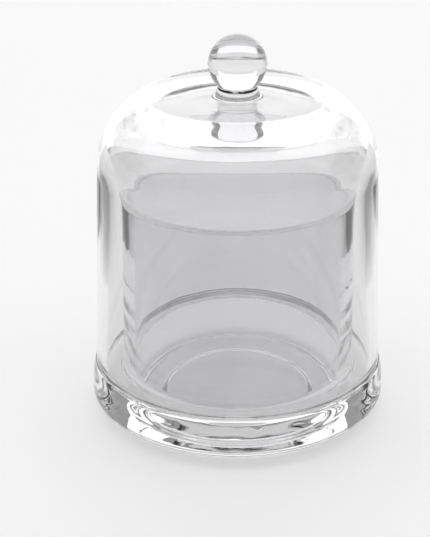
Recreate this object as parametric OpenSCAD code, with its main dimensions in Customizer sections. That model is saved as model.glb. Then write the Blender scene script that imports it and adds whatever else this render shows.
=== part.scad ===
// Covered glass dish: a thick round foot with a straight tumbler fused into it, and a
// lift-off bell cover with a solid ball knob. The origin is the centre of the underside,
// on the surface that the dish stands on, and +Z is up. All sizes are in millimetres.

/* [Foot] */
// Largest radius of the foot, at the fullest part of its rounded edge
foot_r = 42.5; // [41:0.25:46]
// Thickness of the foot, up to the ledge that the cover stands on
foot_h = 14.9; // [13:0.1:19]
// Height at which the edge of the foot is fullest
foot_full_z = 5.9; // [4:0.1:8]
// Radius of the flat ledge on top of the foot
foot_ledge_r = 40.9; // [40:0.1:41]
// Outer radius of the ring that the foot stands on
contact_r = 33; // [30:0.5:36]
// Radius of the hollow under the foot
hollow_r = 23; // [18:0.5:27]
// Depth of the hollow under the foot
hollow_d = 1; // [0.4:0.1:1.5]

/* [Tumbler] */
// Outer radius of the tumbler wall
cup_r = 33; // [30:0.1:33.2]
// Thickness of the tumbler wall
cup_wall = 2.6; // [1.5:0.1:3.5]
// Height of the tumbler rim above the table
cup_rim_z = 66.5; // [50:0.5:70]
// Height of the tumbler's inside floor above the table
cup_floor_z = 6.3; // [6:0.1:8]
// Radius of the hollow corner between the inside floor and the wall
cup_heel_r = 5; // [1:0.1:7]
// Radius of the fused bead where the wall rises from the ledge
cup_bead_r = 1.8; // [0.6:0.1:2.2]

/* [Bell cover] */
// Outer radius of the bell at its lip
bell_lip_r = 41.2; // [41:0.1:42]
// Outer radius of the bell where its shoulder begins
bell_top_r = 38.9; // [38.5:0.1:40]
// Height at which the shoulder begins
bell_shoulder_z = 76.5; // [74:0.5:80]
// Outer height of the crown at the edge of its flat middle
bell_crown_z = 93.6; // [92:0.2:96]
// Radius of the flat middle of the crown
bell_crown_r = 24.5; // [20:0.5:28]
// Thickness of the bell wall
bell_wall = 3.2; // [2.4:0.1:3.4]
// Thickness of the crown, below the seat of the neck
bell_crown_wall = 5.6; // [4:0.1:6.5]
// Height at which the bell's inside shoulder begins
bell_inner_shoulder_z = 70; // [66:0.5:74]
// Radius of the flat middle of the bell's inside crown
bell_inner_crown_r = 14; // [8:0.5:20]
// Radius of the rounding on the edges of the lip
bell_lip_round = 0.9; // [0.4:0.1:1.2]
// Air gap between the lip and the ledge
lip_gap = 0.1; // [0.05:0.05:0.3]

/* [Knob] */
// Radius of the solid ball
ball_r = 8.05; // [6:0.05:9]
// Overall height, to the top of the ball
total_h = 110; // [106:0.5:114]
// Radius of the neck below the ball
neck_r = 5.4; // [4:0.1:5.8]
// Radius of the neck where it flares out onto the crown
neck_foot_r = 7.4; // [6.8:0.1:9]
// Height of the seat on the crown that the neck is fused to
neck_seat_z = 93; // [91.5:0.1:93.5]
// Width of the mould ridge round the middle of the ball
ridge_w = 0.7; // [0.4:0.1:1.2]
// Height of that ridge above the ball
ridge_h = 0.12; // [0.05:0.01:0.2]

/* [Hidden] */
facets = 96;
curve_steps = 14;
round_steps = 6;
cup_base_wall = 3;
socket_z = cup_floor_z - cup_base_wall;
hollow_ease = 2.4;
edge_pull_low = 0.45;
edge_pull_high = 0.55;
shoulder_pull_low = 0.42;
shoulder_pull_high = 0.35;
inner_pull_crown = 0.75;
inner_pull_wall = 0.6;
cup_inner_r = cup_r - cup_wall;
lip_z = foot_h + lip_gap;
bell_inner_crown_z = neck_seat_z - bell_crown_wall;
ball_z = total_h - ball_r;
ball_low_a = -acos(neck_r / ball_r);
neck_top_z = ball_z + ball_r * sin(ball_low_a);
ridge_a = asin(ridge_w / 2 / ball_r);

// One point of a cubic curve from p[0] to p[3], pulled towards p[1] and p[2]
function curve_point(p, t) =
    pow(1 - t, 3) * p[0] + 3 * t * pow(1 - t, 2) * p[1]
    + 3 * t * t * (1 - t) * p[2] + t * t * t * p[3];

// The points of that curve
function curve(p, steps = curve_steps) = [for (i = [0:steps]) curve_point(p, i / steps)];

// A quarter turn from point a to point b. It leaves a towards the corner c and reaches b
// from the corner c. The pulls at a and at b say how far it is drawn into the corner.
function corner(a, c, b, pull_a, pull_b, steps = curve_steps) =
    curve([a, a + (c - a) * pull_a, b + (c - b) * pull_b, b], steps);

// Points on a circle of radius r about [x, z], from angle a0 to angle a1
function arc(x, z, r, a0, a1, steps = round_steps) =
    [for (i = [0:steps]) let (a = a0 + (a1 - a0) * i / steps) [x + r * cos(a), z + r * sin(a)]];

// Radius of the bell's outer wall at height z
function bell_wall_r(z) =
    bell_lip_r + (bell_top_r - bell_lip_r) * (z - lip_z) / (bell_shoulder_z - lip_z);

module turn(points) {
    rotate_extrude($fn = facets) polygon(points);
}

// The foot: a thick disc with a rounded edge, a shallow hollow beneath, and a socket that
// the tumbler is fused into
module foot() {
    color([0.86, 0.88, 0.89, 0.5])
        turn(concat(
            [[0, hollow_d]],
            curve([
                [hollow_r - hollow_ease, hollow_d],
                [hollow_r - hollow_ease / 2, hollow_d],
                [hollow_r - hollow_ease / 2, 0],
                [hollow_r, 0]
            ], round_steps),
            corner(
                [contact_r, 0],
                [foot_r, 0],
                [foot_r, foot_full_z],
                edge_pull_low,
                edge_pull_low
            ),
            corner(
                [foot_r, foot_full_z],
                [foot_r, foot_h],
                [foot_ledge_r, foot_h],
                edge_pull_high,
                edge_pull_high
            ),
            [[cup_r, foot_h], [cup_r, socket_z], [0, socket_z]]
        ));
}

// The tumbler: a straight cup with a rounded rim, a hollow corner at its floor, and a bead
// of glass that spreads onto the ledge of the foot
module tumbler() {
    rim_r = cup_wall / 2;
    color([0.83, 0.85, 0.87, 0.45])
        turn(concat(
            [[0, socket_z], [cup_r, socket_z], [cup_r, foot_h]],
            arc(cup_r + cup_bead_r, foot_h + cup_bead_r, cup_bead_r, 270, 180),
            arc(cup_r - rim_r, cup_rim_z - rim_r, rim_r, 0, 180),
            arc(cup_inner_r - cup_heel_r, cup_floor_z + cup_heel_r, cup_heel_r, 0, -90),
            [[0, cup_floor_z]]
        ));
}

// The bell: a slightly tapered wall with a rounded lip, a broad shoulder and a flat crown
// that dips to the seat of the neck. The glass thickens from the wall to the crown.
module bell_shell() {
    lip_wall_z = lip_z + bell_lip_round;
    lip_inner_r = bell_lip_r - bell_wall;
    inner_top_r = bell_wall_r(bell_inner_shoulder_z) - bell_wall;
    color([0.8, 0.82, 0.85, 0.4])
        turn(concat(
            arc(bell_lip_r - bell_lip_round, lip_wall_z, bell_lip_round, -90, 0),
            corner(
                [bell_top_r, bell_shoulder_z],
                [bell_wall_r(bell_crown_z), bell_crown_z],
                [bell_crown_r, bell_crown_z],
                shoulder_pull_low,
                shoulder_pull_high
            ),
            curve([
                [bell_crown_r - 1, bell_crown_z],
                [(bell_crown_r + neck_foot_r) / 2, bell_crown_z],
                [(bell_crown_r + neck_foot_r) / 2, neck_seat_z],
                [neck_foot_r, neck_seat_z]
            ], round_steps),
            [[0, neck_seat_z], [0, bell_inner_crown_z]],
            corner(
                [bell_inner_crown_r, bell_inner_crown_z],
                [inner_top_r, bell_inner_crown_z],
                [inner_top_r, bell_inner_shoulder_z],
                inner_pull_crown,
                inner_pull_wall
            ),
            arc(lip_inner_r + bell_lip_round, lip_wall_z, bell_lip_round, 180, 270)
        ));
}

// The knob: a solid ball with a fine mould ridge round its middle, on a short neck that
// flares onto the crown
module knob() {
    color([0.74, 0.77, 0.8, 0.55])
        turn(concat(
            [[0, neck_seat_z]],
            corner(
                [neck_foot_r, neck_seat_z],
                [neck_r, neck_seat_z],
                [neck_r, neck_top_z],
                edge_pull_high,
                edge_pull_high,
                round_steps
            ),
            arc(0, ball_z, ball_r, ball_low_a, -ridge_a, curve_steps),
            [[ball_r + ridge_h, ball_z]],
            arc(0, ball_z, ball_r, ridge_a, 90, curve_steps)
        ));
}

foot();
tumbler();
bell_shell();
knob();
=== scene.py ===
"""Looks of the covered glass dish: four smooth pieces of clear glass over the CAD frame,
on a pale floor in a soft light. Metres, Z up, in the frame's own place."""

import math

import bmesh
import bpy
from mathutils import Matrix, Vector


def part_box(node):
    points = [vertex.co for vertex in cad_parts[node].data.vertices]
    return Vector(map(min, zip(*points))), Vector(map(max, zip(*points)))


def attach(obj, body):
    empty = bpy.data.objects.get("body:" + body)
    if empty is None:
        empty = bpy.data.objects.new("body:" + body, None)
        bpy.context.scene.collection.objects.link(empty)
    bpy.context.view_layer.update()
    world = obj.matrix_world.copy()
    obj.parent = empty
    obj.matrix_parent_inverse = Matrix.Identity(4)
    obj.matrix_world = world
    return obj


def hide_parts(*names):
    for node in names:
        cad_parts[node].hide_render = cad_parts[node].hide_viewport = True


MM = 0.001

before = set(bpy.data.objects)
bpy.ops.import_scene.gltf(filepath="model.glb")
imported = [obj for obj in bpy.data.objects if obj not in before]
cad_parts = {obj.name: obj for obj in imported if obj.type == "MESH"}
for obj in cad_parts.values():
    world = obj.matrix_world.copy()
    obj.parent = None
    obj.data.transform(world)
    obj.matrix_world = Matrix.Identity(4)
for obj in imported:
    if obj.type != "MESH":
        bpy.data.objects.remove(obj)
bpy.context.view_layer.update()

# --- Sizes -------------------------------------------------------------------------------
# Heights and outer radii come from the CAD nodes. The rest repeats the CAD's own sizes.
# A pull says how far a rounding is drawn into its corner: 0 is a straight cut.
foot_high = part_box("foot")[1]
cup_low, cup_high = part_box("tumbler")
bell_low, bell_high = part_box("bell_shell")
knob_low, knob_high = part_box("knob")

# Foot: a thick round disc, with a shallow hollow under it.
FOOT_R = foot_high.x
FOOT_H = foot_high.z
FOOT_FULL_Z = 5.9 * MM
FOOT_LEDGE_R = 40.9 * MM
FOOT_PULL_LOW, FOOT_PULL_HIGH = 0.45, 0.55
CONTACT_R = 33 * MM
HOLLOW_R = 23 * MM
HOLLOW_D = 1.0 * MM
HOLLOW_EASE = 2.4 * MM

# Tumbler: a straight cup, sunk into the foot and joined to it by a small bead.
CUP_BEAD_R = 1.8 * MM
CUP_R = cup_high.x - CUP_BEAD_R
CUP_WALL = 2.6 * MM
CUP_RIM_Z = cup_high.z
CUP_SOCKET_Z = cup_low.z
CUP_FLOOR_Z = CUP_SOCKET_Z + 3 * MM
CUP_HEEL_R = 5 * MM

# Bell: a slightly tapered wall, a broad shoulder and a flat crown, thicker than the wall.
LIP_Z = bell_low.z
LIP_ROUND = 0.9 * MM
BELL_LIP_R = bell_high.x
BELL_TOP_R = 38.9 * MM
BELL_SHOULDER_Z = 76.5 * MM
BELL_CROWN_Z = bell_high.z
BELL_CROWN_R = 24.5 * MM
BELL_WALL = 3.2 * MM
CROWN_T = 5.6 * MM
CROWN_EDGE_W = 1 * MM
INNER_CROWN_R = 14 * MM
INNER_SHOULDER_Z = 70 * MM
OUTER_PULL_WALL, OUTER_PULL_CROWN = 0.42, 0.35
INNER_PULL_WALL, INNER_PULL_CROWN = 0.6, 0.75

# Knob: a ball with a mould ridge round its middle, on a neck that flares onto the crown.
SEAT_Z = knob_low.z
NECK_FOOT_R = 7.4 * MM
NECK_R = 5.4 * MM
NECK_PULL = 0.55
RIDGE_W = 0.7 * MM
RIDGE_H = 0.12 * MM
BALL_R = knob_high.x - RIDGE_H
BALL_Z = knob_high.z - BALL_R

# Steps in a full turn, in a curve and in the hollow's flat. Points closer than WELD are one.
TURN_STEPS = 256
CURVE_STEPS = 28
FLAT_STEPS = 8
WELD = 1e-7

# Material slots of each piece.
SKIN, JOINT = 0, 1


# --- Outlines ----------------------------------------------------------------------------
def curve(a, b, c, d, steps=CURVE_STEPS):
    """Points of a cubic curve from a to d, pulled towards b and c."""
    points = []
    for i in range(steps + 1):
        t = i / steps
        w = ((1 - t) ** 3, 3 * t * (1 - t) ** 2, 3 * t * t * (1 - t), t ** 3)
        points.append(tuple(sum(k * p[n] for k, p in zip(w, (a, b, c, d))) for n in (0, 1)))
    return points


def corner(a, c, b, pull, pull_b=None, steps=CURVE_STEPS):
    """A quarter turn from a to b, drawn into the corner c by pull (by pull_b at b)."""
    near_a = tuple(p + (q - p) * pull for p, q in zip(a, c))
    near_b = tuple(p + (q - p) * (pull_b or pull) for p, q in zip(b, c))
    return curve(a, near_a, near_b, b, steps)


def arc(x, z, r, start, stop, steps=CURVE_STEPS):
    """Points on a circle about (x, z), from one angle to another in degrees."""
    turns = [math.radians(start + (stop - start) * i / steps) for i in range(steps + 1)]
    return [(x + r * math.cos(a), z + r * math.sin(a)) for a in turns]


def line(a, b, steps):
    """Points on a straight line, without its two ends."""
    return [(a[0] + (b[0] - a[0]) * i / steps, a[1] + (b[1] - a[1]) * i / steps)
            for i in range(1, steps)]


# --- Meshes ------------------------------------------------------------------------------
def placed(name, data):
    """A new object in the scene that holds the data."""
    made = bpy.data.objects.new(name, data)
    bpy.context.scene.collection.objects.link(made)
    return made


def meshed(name, bm):
    """A new object in the scene with the finished mesh."""
    mesh = bpy.data.meshes.new(name)
    bm.to_mesh(mesh)
    bm.free()
    return placed(name, mesh)


def turned(name, stretches):
    """A closed body of revolution. stretches is a list of (points, kind), and each stretch
    goes on from the last point of the one before."""
    outline, kinds = [], []
    for points, kind in stretches:
        for point in points:
            if outline and math.dist(outline[-1], point) < WELD:
                continue
            if outline:
                kinds.append(kind)
            outline.append(point)
    bm = bmesh.new()
    rings = []
    for r, z in outline:
        if r < WELD:
            rings.append([bm.verts.new((0, 0, z))])
            continue
        turn = [2 * math.pi * i / TURN_STEPS for i in range(TURN_STEPS)]
        rings.append([bm.verts.new((r * math.cos(a), r * math.sin(a), z)) for a in turn])
    for low, high, kind in zip(rings, rings[1:], kinds):
        if len(low) == len(high) == 1:
            continue
        for i in range(TURN_STEPS):
            j = (i + 1) % TURN_STEPS
            corners = [low[i % len(low)], low[j % len(low)], high[j % len(high)], high[i % len(high)]]
            face = bm.faces.new(list(dict.fromkeys(corners)))
            face.material_index = kind
            face.smooth = True
    bmesh.ops.remove_doubles(bm, verts=bm.verts, dist=WELD)
    bmesh.ops.recalc_face_normals(bm, faces=bm.faces)
    return meshed(name, bm)


def foot_piece():
    """From the hollow's middle, under and round the edge, over the ledge, into the socket."""
    low = (HOLLOW_R - HOLLOW_EASE, HOLLOW_D)
    mid_r = HOLLOW_R - HOLLOW_EASE / 2
    return turned("foot_glass", [
        ([(0, HOLLOW_D)] + line((0, HOLLOW_D), low, FLAT_STEPS), SKIN),
        (curve(low, (mid_r, HOLLOW_D), (mid_r, 0), (HOLLOW_R, 0)), SKIN),
        (corner((CONTACT_R, 0), (FOOT_R, 0), (FOOT_R, FOOT_FULL_Z), FOOT_PULL_LOW), SKIN),
        (corner((FOOT_R, FOOT_FULL_Z), (FOOT_R, FOOT_H), (FOOT_LEDGE_R, FOOT_H),
                FOOT_PULL_HIGH), SKIN),
        ([(CUP_R + CUP_BEAD_R, FOOT_H)], SKIN),
        ([(CUP_R, FOOT_H), (CUP_R, CUP_SOCKET_Z), (0, CUP_SOCKET_Z)], JOINT),
    ])


def tumbler_piece():
    """From the socket's middle, out past the bead, up and over the rim, and down inside."""
    rim = CUP_WALL / 2
    inner = CUP_R - CUP_WALL
    bead = (CUP_R + CUP_BEAD_R, FOOT_H + CUP_BEAD_R)
    return turned("tumbler_glass", [
        ([(0, CUP_SOCKET_Z)], JOINT),
        ([(CUP_R, CUP_SOCKET_Z), (CUP_R, FOOT_H), (CUP_R + CUP_BEAD_R, FOOT_H)], JOINT),
        (arc(*bead, CUP_BEAD_R, 270, 180), SKIN),
        (arc(CUP_R - rim, CUP_RIM_Z - rim, rim, 0, 180), SKIN),
        (arc(inner - CUP_HEEL_R, CUP_FLOOR_Z + CUP_HEEL_R, CUP_HEEL_R, 0, -90), SKIN),
        ([(0, CUP_FLOOR_Z)], SKIN),
    ])


def bell_piece():
    """From the lip, up outside to the knob's seat, and back down inside."""
    lip_z = LIP_Z + LIP_ROUND
    rise = (BELL_CROWN_Z - LIP_Z) / (BELL_SHOULDER_Z - LIP_Z)
    wall_at_crown_r = BELL_LIP_R + (BELL_TOP_R - BELL_LIP_R) * rise
    mid_r = (BELL_CROWN_R + NECK_FOOT_R) / 2
    inner_z = SEAT_Z - CROWN_T
    taper = (BELL_LIP_R - BELL_TOP_R) / (BELL_SHOULDER_Z - LIP_Z)
    inner_top_r = BELL_LIP_R - taper * (INNER_SHOULDER_Z - LIP_Z) - BELL_WALL
    return turned("bell_glass", [
        (arc(BELL_LIP_R - LIP_ROUND, lip_z, LIP_ROUND, -90, 0), SKIN),
        (corner((BELL_TOP_R, BELL_SHOULDER_Z), (wall_at_crown_r, BELL_CROWN_Z),
                (BELL_CROWN_R, BELL_CROWN_Z), OUTER_PULL_WALL, OUTER_PULL_CROWN), SKIN),
        (curve((BELL_CROWN_R - CROWN_EDGE_W, BELL_CROWN_Z), (mid_r, BELL_CROWN_Z),
               (mid_r, SEAT_Z), (NECK_FOOT_R, SEAT_Z)), SKIN),
        ([(0, SEAT_Z)], JOINT),
        ([(0, inner_z)], SKIN),
        (corner((INNER_CROWN_R, inner_z), (inner_top_r, inner_z),
                (inner_top_r, INNER_SHOULDER_Z), INNER_PULL_CROWN, INNER_PULL_WALL), SKIN),
        (arc(BELL_LIP_R - BELL_WALL + LIP_ROUND, lip_z, LIP_ROUND, 180, 270), SKIN),
        ([(BELL_LIP_R - LIP_ROUND, LIP_Z)], SKIN),
    ])


def knob_piece():
    """From the seat, up the neck, and round the ball past its ridge."""
    neck_a = -math.degrees(math.acos(NECK_R / BALL_R))
    ridge_a = math.degrees(math.asin(RIDGE_W / 2 / BALL_R))
    neck_top = BALL_Z + BALL_R * math.sin(math.radians(neck_a))
    return turned("knob_glass", [
        ([(0, SEAT_Z), (NECK_FOOT_R, SEAT_Z)], JOINT),
        (corner((NECK_FOOT_R, SEAT_Z), (NECK_R, SEAT_Z), (NECK_R, neck_top), NECK_PULL), SKIN),
        (arc(0, BALL_Z, BALL_R, neck_a, -ridge_a), SKIN),
        ([(BALL_R + RIDGE_H, BALL_Z)], SKIN),
        (arc(0, BALL_Z, BALL_R, ridge_a, 90), SKIN),
    ])


# --- Materials ---------------------------------------------------------------------------
# Tone is the share of light that one pass through a wall leaves, and tint its three channels.
# Clouds vary the tone, marks the roughness, and waves the bump. Scales are in cells a metre.
GLASS_TONE = 0.87
TONE_SPREAD = 0.012
TINT = (0.994, 0.992, 1.0)
GLASS_IOR = 1.5
CLOUD_SCALE, CLOUD_STRETCH, CLOUD_DETAIL = 45, 2.5, 3
CLOUD_LOW, CLOUD_HIGH = 0.3, 0.7
MARK_SCALE, MARK_DETAIL, MARK_ROUGHNESS = 260, 4, 0.03
MARK_LOW, MARK_HIGH = 0.55, 0.8
WAVE_SCALE, WAVE_STRETCH, WAVE_DETAIL, WAVE_DEPTH = 90, 4, 2, 0.07 * MM


def node(tree, kind, **values):
    """A new node of the given kind, with its settings."""
    made = tree.nodes.new(kind)
    for name, value in values.items():
        setattr(made, name, value)
    return made


def general_material(name):
    """A material with the general shader, and that shader's node."""
    mat = bpy.data.materials.new(name)
    mat.use_nodes = True
    return mat, mat.node_tree.nodes["Principled BSDF"]


def plain_material(name, kind):
    """A material with one shader of the given kind, and that shader's node."""
    mat = bpy.data.materials.new(name)
    mat.use_nodes = True
    tree = mat.node_tree
    tree.nodes.clear()
    out = node(tree, "ShaderNodeOutputMaterial")
    shader = node(tree, kind)
    tree.links.new(shader.outputs[0], out.inputs["Surface"])
    return mat, shader


def ramp(tree, value, low, high, first, last):
    """A soft step: first where value is below low, last where it is above high."""
    made = node(tree, "ShaderNodeMapRange", interpolation_type="SMOOTHSTEP")
    for name, number in (("From Min", low), ("From Max", high), ("To Min", first), ("To Max", last)):
        made.inputs[name].default_value = number
    tree.links.new(value, made.inputs["Value"])
    return made.outputs["Result"]


def scaled(tree, value, share):
    """The value times a share."""
    made = node(tree, "ShaderNodeMath", operation="MULTIPLY")
    made.inputs[1].default_value = share
    tree.links.new(value, made.inputs[0])
    return made.outputs[0]


def noise(tree, place, stretch, scale, detail):
    """Noise over the object's own place, drawn out along Z by stretch."""
    move = node(tree, "ShaderNodeMapping")
    move.inputs["Scale"].default_value = (1, 1, 1 / stretch)
    tree.links.new(place, move.inputs["Vector"])
    made = node(tree, "ShaderNodeTexNoise")
    made.inputs["Scale"].default_value = scale
    made.inputs["Detail"].default_value = detail
    tree.links.new(move.outputs[0], made.inputs["Vector"])
    return made.outputs["Fac"]


def clear_glass():
    """Clear pressed glass: faintly grey, wavy from the mould, with small marks of use."""
    mat, shader = general_material("clear_glass")
    tree = mat.node_tree
    shader.inputs["Transmission Weight"].default_value = 1
    shader.inputs["IOR"].default_value = GLASS_IOR
    place = node(tree, "ShaderNodeTexCoord").outputs["Object"]
    cloud = noise(tree, place, CLOUD_STRETCH, CLOUD_SCALE, CLOUD_DETAIL)
    tone = ramp(tree, cloud, CLOUD_LOW, CLOUD_HIGH,
                GLASS_TONE - TONE_SPREAD, GLASS_TONE + TONE_SPREAD)
    colour = node(tree, "ShaderNodeCombineColor")
    for channel, share in zip(("Red", "Green", "Blue"), TINT):
        tree.links.new(scaled(tree, tone, share), colour.inputs[channel])
    tree.links.new(colour.outputs[0], shader.inputs["Base Color"])
    marks = noise(tree, place, 1, MARK_SCALE, MARK_DETAIL)
    rough = ramp(tree, marks, MARK_LOW, MARK_HIGH, 0, MARK_ROUGHNESS)
    tree.links.new(rough, shader.inputs["Roughness"])
    wave = noise(tree, place, WAVE_STRETCH, WAVE_SCALE, WAVE_DETAIL)
    bump = node(tree, "ShaderNodeBump")
    bump.inputs["Strength"].default_value = 1
    bump.inputs["Distance"].default_value = WAVE_DEPTH
    tree.links.new(wave, bump.inputs["Height"])
    tree.links.new(bump.outputs[0], shader.inputs["Normal"])
    return mat


def fused_joint():
    """The face where two bodies of glass are fused: light passes it as if it weren't there."""
    return plain_material("fused_joint", "ShaderNodeBsdfTransparent")[0]


# --- Stage -------------------------------------------------------------------------------
# The lens and the sensor are in millimetres. A glow is a strength of light given off.
CAM_TILT = math.radians(24.0)
CAM_DIST = 0.425
CAM_AIM_Z = 0.0413
CAM_LENS = 66.22
CAM_SENSOR = 24
CAM_SHIFT = -0.0419

# The floor lies a hair under the glass, as a real table does, so no light crosses by contact.
AIR_GAP = 0.05 * MM
FLOOR_R, FLOOR_SIDES = 6, 96
FLOOR_TONE, FLOOR_GLOW, FLOOR_ROUGHNESS = 0.6, 0.52, 0.9
WORLD_GLOW = 0.3
GLASS_BOUNCES, GLOSS_BOUNCES = 24, 16
TOP_GLOW, TOP_Z, TOP_HALF_W, TOP_FRONT, TOP_BACK = 1.0, 0.6, 1.2, -0.30, 0.18
BACK_GLOW, BACK_Y, BACK_HALF_W, BACK_LOW, BACK_HIGH = 1.35, 1.0, 0.75, 0.07, 1.5
RING_GLOW, RING_R, RING_H, RING_PARTS = 0.9, 1.15, 0.24, 24
# Two dim cards with soft edges stand out of the picture, behind the dish to the left and the
# right, and darken the clear walls' edges. The depth is how much of the light behind it a
# card's core holds back.
FLAG_GLOW, FLAG_DEPTH, FLAG_R, FLAG_Z = 0.1, 0.75, 0.12, 0.04
FLAG_TURN = math.radians(61)
FLAG_CORE, FLAG_EDGE = 0.018, 0.05


def make_camera():
    """In front of the dish, looking down on it."""
    cam = bpy.data.cameras.new("camera")
    cam.sensor_fit = "VERTICAL"
    cam.sensor_height = CAM_SENSOR
    cam.lens = CAM_LENS
    cam.shift_x = CAM_SHIFT
    holder = placed("camera", cam)
    holder.location = (0, -CAM_DIST * math.cos(CAM_TILT), CAM_AIM_Z + CAM_DIST * math.sin(CAM_TILT))
    holder.rotation_euler = (math.pi / 2 - CAM_TILT, 0, 0)
    bpy.context.scene.camera = holder


def make_panel(name, corners, strength, lights_floor=True):
    """A flat glowing panel that the camera doesn't see. Where lights_floor is False, it
    neither lights nor shades the floor."""
    bm = bmesh.new()
    bm.faces.new([bm.verts.new(c) for c in corners])
    panel = meshed(name, bm)
    mat, glow = plain_material(name, "ShaderNodeEmission")
    glow.inputs["Strength"].default_value = strength
    panel.data.materials.append(mat)
    panel.visible_camera = False
    panel.visible_diffuse = lights_floor
    panel.visible_shadow = lights_floor
    return panel


def make_flag(name, turn):
    """A dim card that faces the dish and fades out towards its edges."""
    e = FLAG_EDGE
    flag = make_panel(name, [(-e, 0, -e), (e, 0, -e), (e, 0, e), (-e, 0, e)], FLAG_GLOW, False)
    flag.location = (FLAG_R * math.sin(turn), FLAG_R * math.cos(turn), FLAG_Z)
    flag.rotation_euler = (0, 0, -turn)
    tree = flag.data.materials[0].node_tree
    far = node(tree, "ShaderNodeVectorMath", operation="LENGTH")
    tree.links.new(node(tree, "ShaderNodeTexCoord").outputs["Object"], far.inputs[0])
    fade = ramp(tree, far.outputs["Value"], FLAG_CORE, FLAG_EDGE, FLAG_DEPTH, 0)
    mix = node(tree, "ShaderNodeMixShader")
    tree.links.new(fade, mix.inputs[0])
    tree.links.new(node(tree, "ShaderNodeBsdfTransparent").outputs[0], mix.inputs[1])
    tree.links.new(tree.nodes["Emission"].outputs[0], mix.inputs[2])
    tree.links.new(mix.outputs[0], tree.nodes["Material Output"].inputs["Surface"])


def standing(feet, low, high):
    """The corners of an upright rectangle over two feet."""
    return [(x, y, low) for x, y in feet] + [(x, y, high) for x, y in feet[::-1]]


def make_lights():
    """A panel above, a panel behind, a low ring around, and the two cards."""
    w, z = TOP_HALF_W, TOP_Z
    make_panel("top_panel", [(-w, TOP_FRONT, z), (w, TOP_FRONT, z), (w, TOP_BACK, z), (-w, TOP_BACK, z)],
               TOP_GLOW)
    feet = [(-BACK_HALF_W, BACK_Y), (BACK_HALF_W, BACK_Y)]
    make_panel("back_panel", standing(feet, BACK_LOW, BACK_HIGH), BACK_GLOW)
    for i in range(RING_PARTS):
        turns = [2 * math.pi * (i + k) / RING_PARTS for k in (0, 1)]
        feet = [(RING_R * math.cos(a), RING_R * math.sin(a)) for a in turns]
        make_panel(f"horizon_{i}", standing(feet, 0, RING_H), RING_GLOW, False)
    make_flag("left_flag", -FLAG_TURN)
    make_flag("right_flag", FLAG_TURN)


def make_floor():
    """One plain pale tone all over."""
    bm = bmesh.new()
    bmesh.ops.create_circle(bm, cap_ends=True, segments=FLOOR_SIDES, radius=FLOOR_R)
    floor = meshed("floor", bm)
    floor.location = (0, 0, -AIR_GAP)
    mat, shader = general_material("floor")
    shader.inputs["Base Color"].default_value = (FLOOR_TONE, FLOOR_TONE, FLOOR_TONE, 1)
    shader.inputs["Roughness"].default_value = FLOOR_ROUGHNESS
    shader.inputs["Emission Color"].default_value = (1, 1, 1, 1)
    shader.inputs["Emission Strength"].default_value = FLOOR_GLOW
    floor.data.materials.append(mat)


def make_world():
    """White, and dim."""
    world = bpy.data.worlds.new("studio")
    bpy.context.scene.world = world
    world.use_nodes = True
    sky = world.node_tree.nodes["Background"]
    sky.inputs["Color"].default_value = (1, 1, 1, 1)
    sky.inputs["Strength"].default_value = WORLD_GLOW


# --- Assembly ----------------------------------------------------------------------------
make_camera()
make_floor()
make_lights()
make_world()
glass, joint = clear_glass(), fused_joint()
PIECES = (
    (foot_piece, "foot", "base", "base_glass"),
    (tumbler_piece, "tumbler", "base", "base_glass"),
    (bell_piece, "bell_shell", "cover", "cover_glass"),
    (knob_piece, "knob", "cover", "cover_glass"),
)
for build, cad_node, body, slot in PIECES:
    piece = build()
    piece.data.materials.append(glass)
    piece.data.materials.append(joint)
    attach(piece, body)
    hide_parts(cad_node)

# Light crosses many faces of glass on its way through the covered dish.
scene = bpy.context.scene
scene.cycles.max_bounces = GLASS_BOUNCES
scene.cycles.transmission_bounces = GLASS_BOUNCES
scene.cycles.transparent_max_bounces = GLASS_BOUNCES
scene.cycles.glossy_bounces = GLOSS_BOUNCES
scene.view_settings.view_transform = "Standard"
